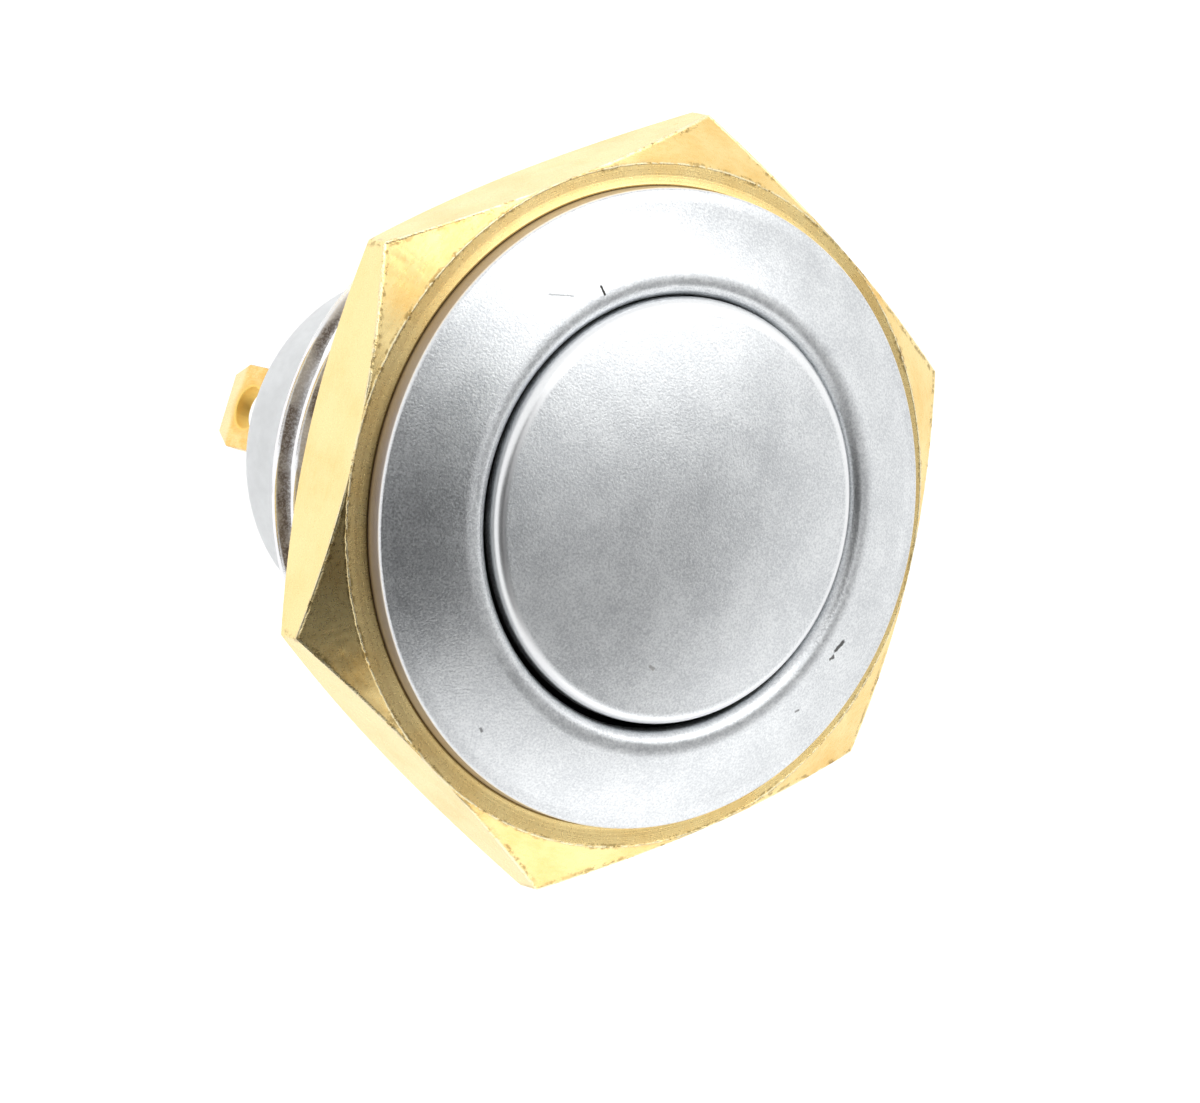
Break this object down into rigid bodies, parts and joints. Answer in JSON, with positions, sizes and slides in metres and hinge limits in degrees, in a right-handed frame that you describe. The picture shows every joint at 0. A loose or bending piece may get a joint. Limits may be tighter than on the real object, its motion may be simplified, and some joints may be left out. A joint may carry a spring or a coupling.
{
  "type": "pushbutton switch",
  "caption": "Metal momentary pushbutton switch with a domed button in a round bezel, a threaded barrel with a brass hex nut, and flat solder tabs at the back.",
  "frame": {"origin": "centre of the flange's back face, on the barrel's axis", "axes": "+Z along the barrel, out of the front through the button; the two solder tabs lie at -X and +X"},
  "size_m": [0.0202, 0.0222, 0.0203],
  "materials": {
    "bezel_metal": "matt nickel plate, bright on the side wall and thread",
    "button_metal": "bead blasted",
    "nut_brass": "turned and sawn, raw",
    "seal_rubber": "matt",
    "black_plastic": "moulded",
    "base_plastic": "smooth light grey moulding",
    "spring_steel": "drawn wire and stamped sheet",
    "contact_brass": "stamped",
    "contact_silver": "silver plated",
    "tab_gold": "gold plated",
    "potting_resin": "cast epoxy"
  },
  "bodies": {
    "housing": {"bezel_body": "bezel_metal", "panel_seal": "seal_rubber", "guide_plate": "black_plastic", "return_spring": "spring_steel", "insulator_base": "base_plastic", "base_seal": "seal_rubber", "snap_ring": "spring_steel", "rear_potting": "potting_resin", "terminal_left": "tab_gold", "terminal_right": "tab_gold", "fixed_contact_left": "contact_silver", "fixed_contact_right": "contact_silver"},
    "button": {"button_cap": "button_metal", "button_seal": "seal_rubber", "plunger": "black_plastic", "plunger_clip": "spring_steel"},
    "bridge": {"contact_bridge": "contact_brass", "bridge_contact_left": "contact_silver", "bridge_contact_right": "contact_silver", "contact_spring": "spring_steel"},
    "nut": {"hex_nut": "nut_brass"}
  },
  "joints": [
    {"name": "button_press", "type": "slide", "parent": "housing", "child": "button", "axis": [0, 0, -1], "range_m": [0, 0.0014], "stiffness_N_per_m": 800, "springref_m": -0.0025, "deforming": ["return_spring"]},
    {"name": "bridge_travel", "type": "slide", "parent": "housing", "child": "bridge", "axis": [0, 0, -1], "range_m": [0, 0.001], "deforming": ["contact_spring"]},
    {"name": "nut_travel", "type": "slide", "parent": "housing", "child": "nut", "axis": [0, 0, -1], "range_m": [0, 0.0048]}
  ],
  "couplings": [
    {"joint": "bridge_travel", "follows": "button_press", "ratio": 0.7}
  ]
}
